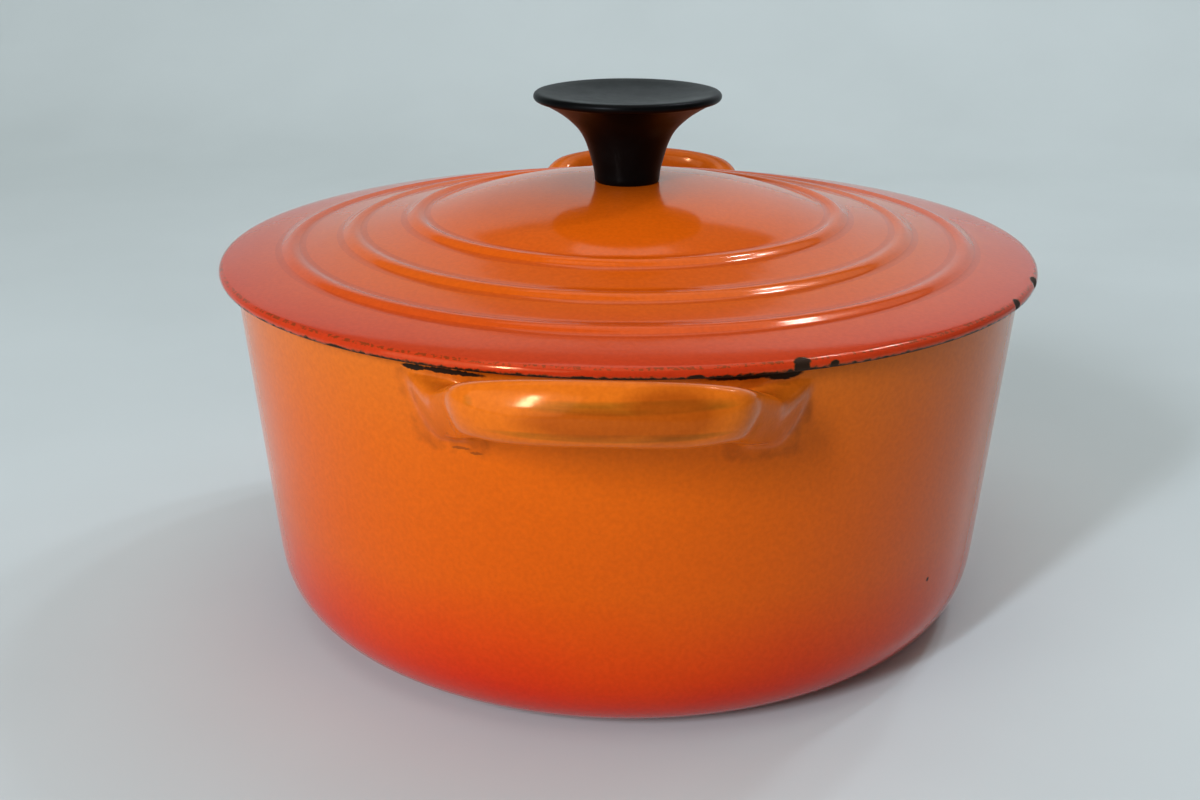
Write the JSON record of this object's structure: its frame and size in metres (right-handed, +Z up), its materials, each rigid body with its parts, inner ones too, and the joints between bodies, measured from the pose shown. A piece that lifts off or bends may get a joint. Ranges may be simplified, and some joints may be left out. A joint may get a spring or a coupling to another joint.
{
  "type": "cast iron dutch oven",
  "caption": "Round lidded cooking pot of enamelled cast iron with cast-in loop handles, a ring-beaded crowned lid and a screwed-on flared knob.",
  "frame": {"origin": "centre of the base, on the surface that the pot stands on", "axes": "+Z up through the knob; -Y towards the front loop handle, +Y towards the rear one; +X to the right seen from the front"},
  "size_m": [0.216, 0.2592, 0.1386],
  "materials": {
    "pot_enamel": "gloss vitreous enamel, orange fading to red at the foot, pale cream inside",
    "lid_enamel": "gloss vitreous enamel, orange in the middle fading to red at the edge, pale cream inside",
    "knob_phenolic": "satin black phenolic",
    "insert_brass": "turned",
    "fastener_steel": "plain stainless"
  },
  "bodies": {
    "pot": {"pot": "pot_enamel"},
    "lid": {"lid": "lid_enamel", "flat_washer": "fastener_steel", "spring_washer": "fastener_steel"},
    "screw": {"knob_screw": "fastener_steel"},
    "knob": {"knob": "knob_phenolic", "knob_insert": "insert_brass"}
  },
  "joints": [
    {"name": "lid_lift", "type": "slide", "parent": "pot", "child": "lid", "axis": [0, 0, 1], "range_m": [0, 0.15]},
    {"name": "knob_rise", "type": "slide", "parent": "lid", "child": "knob", "axis": [0, 0, 1], "range_m": [0, 0.008]},
    {"name": "screw_turn", "type": "hinge", "parent": "lid", "child": "screw", "pos_m": [0, 0, 0.115], "axis": [0, 0, -1], "range_deg": [0, 3600]}
  ],
  "couplings": [
    {"joint": "screw_turn", "follows": "knob_rise", "rad_per_m": 7854}
  ]
}
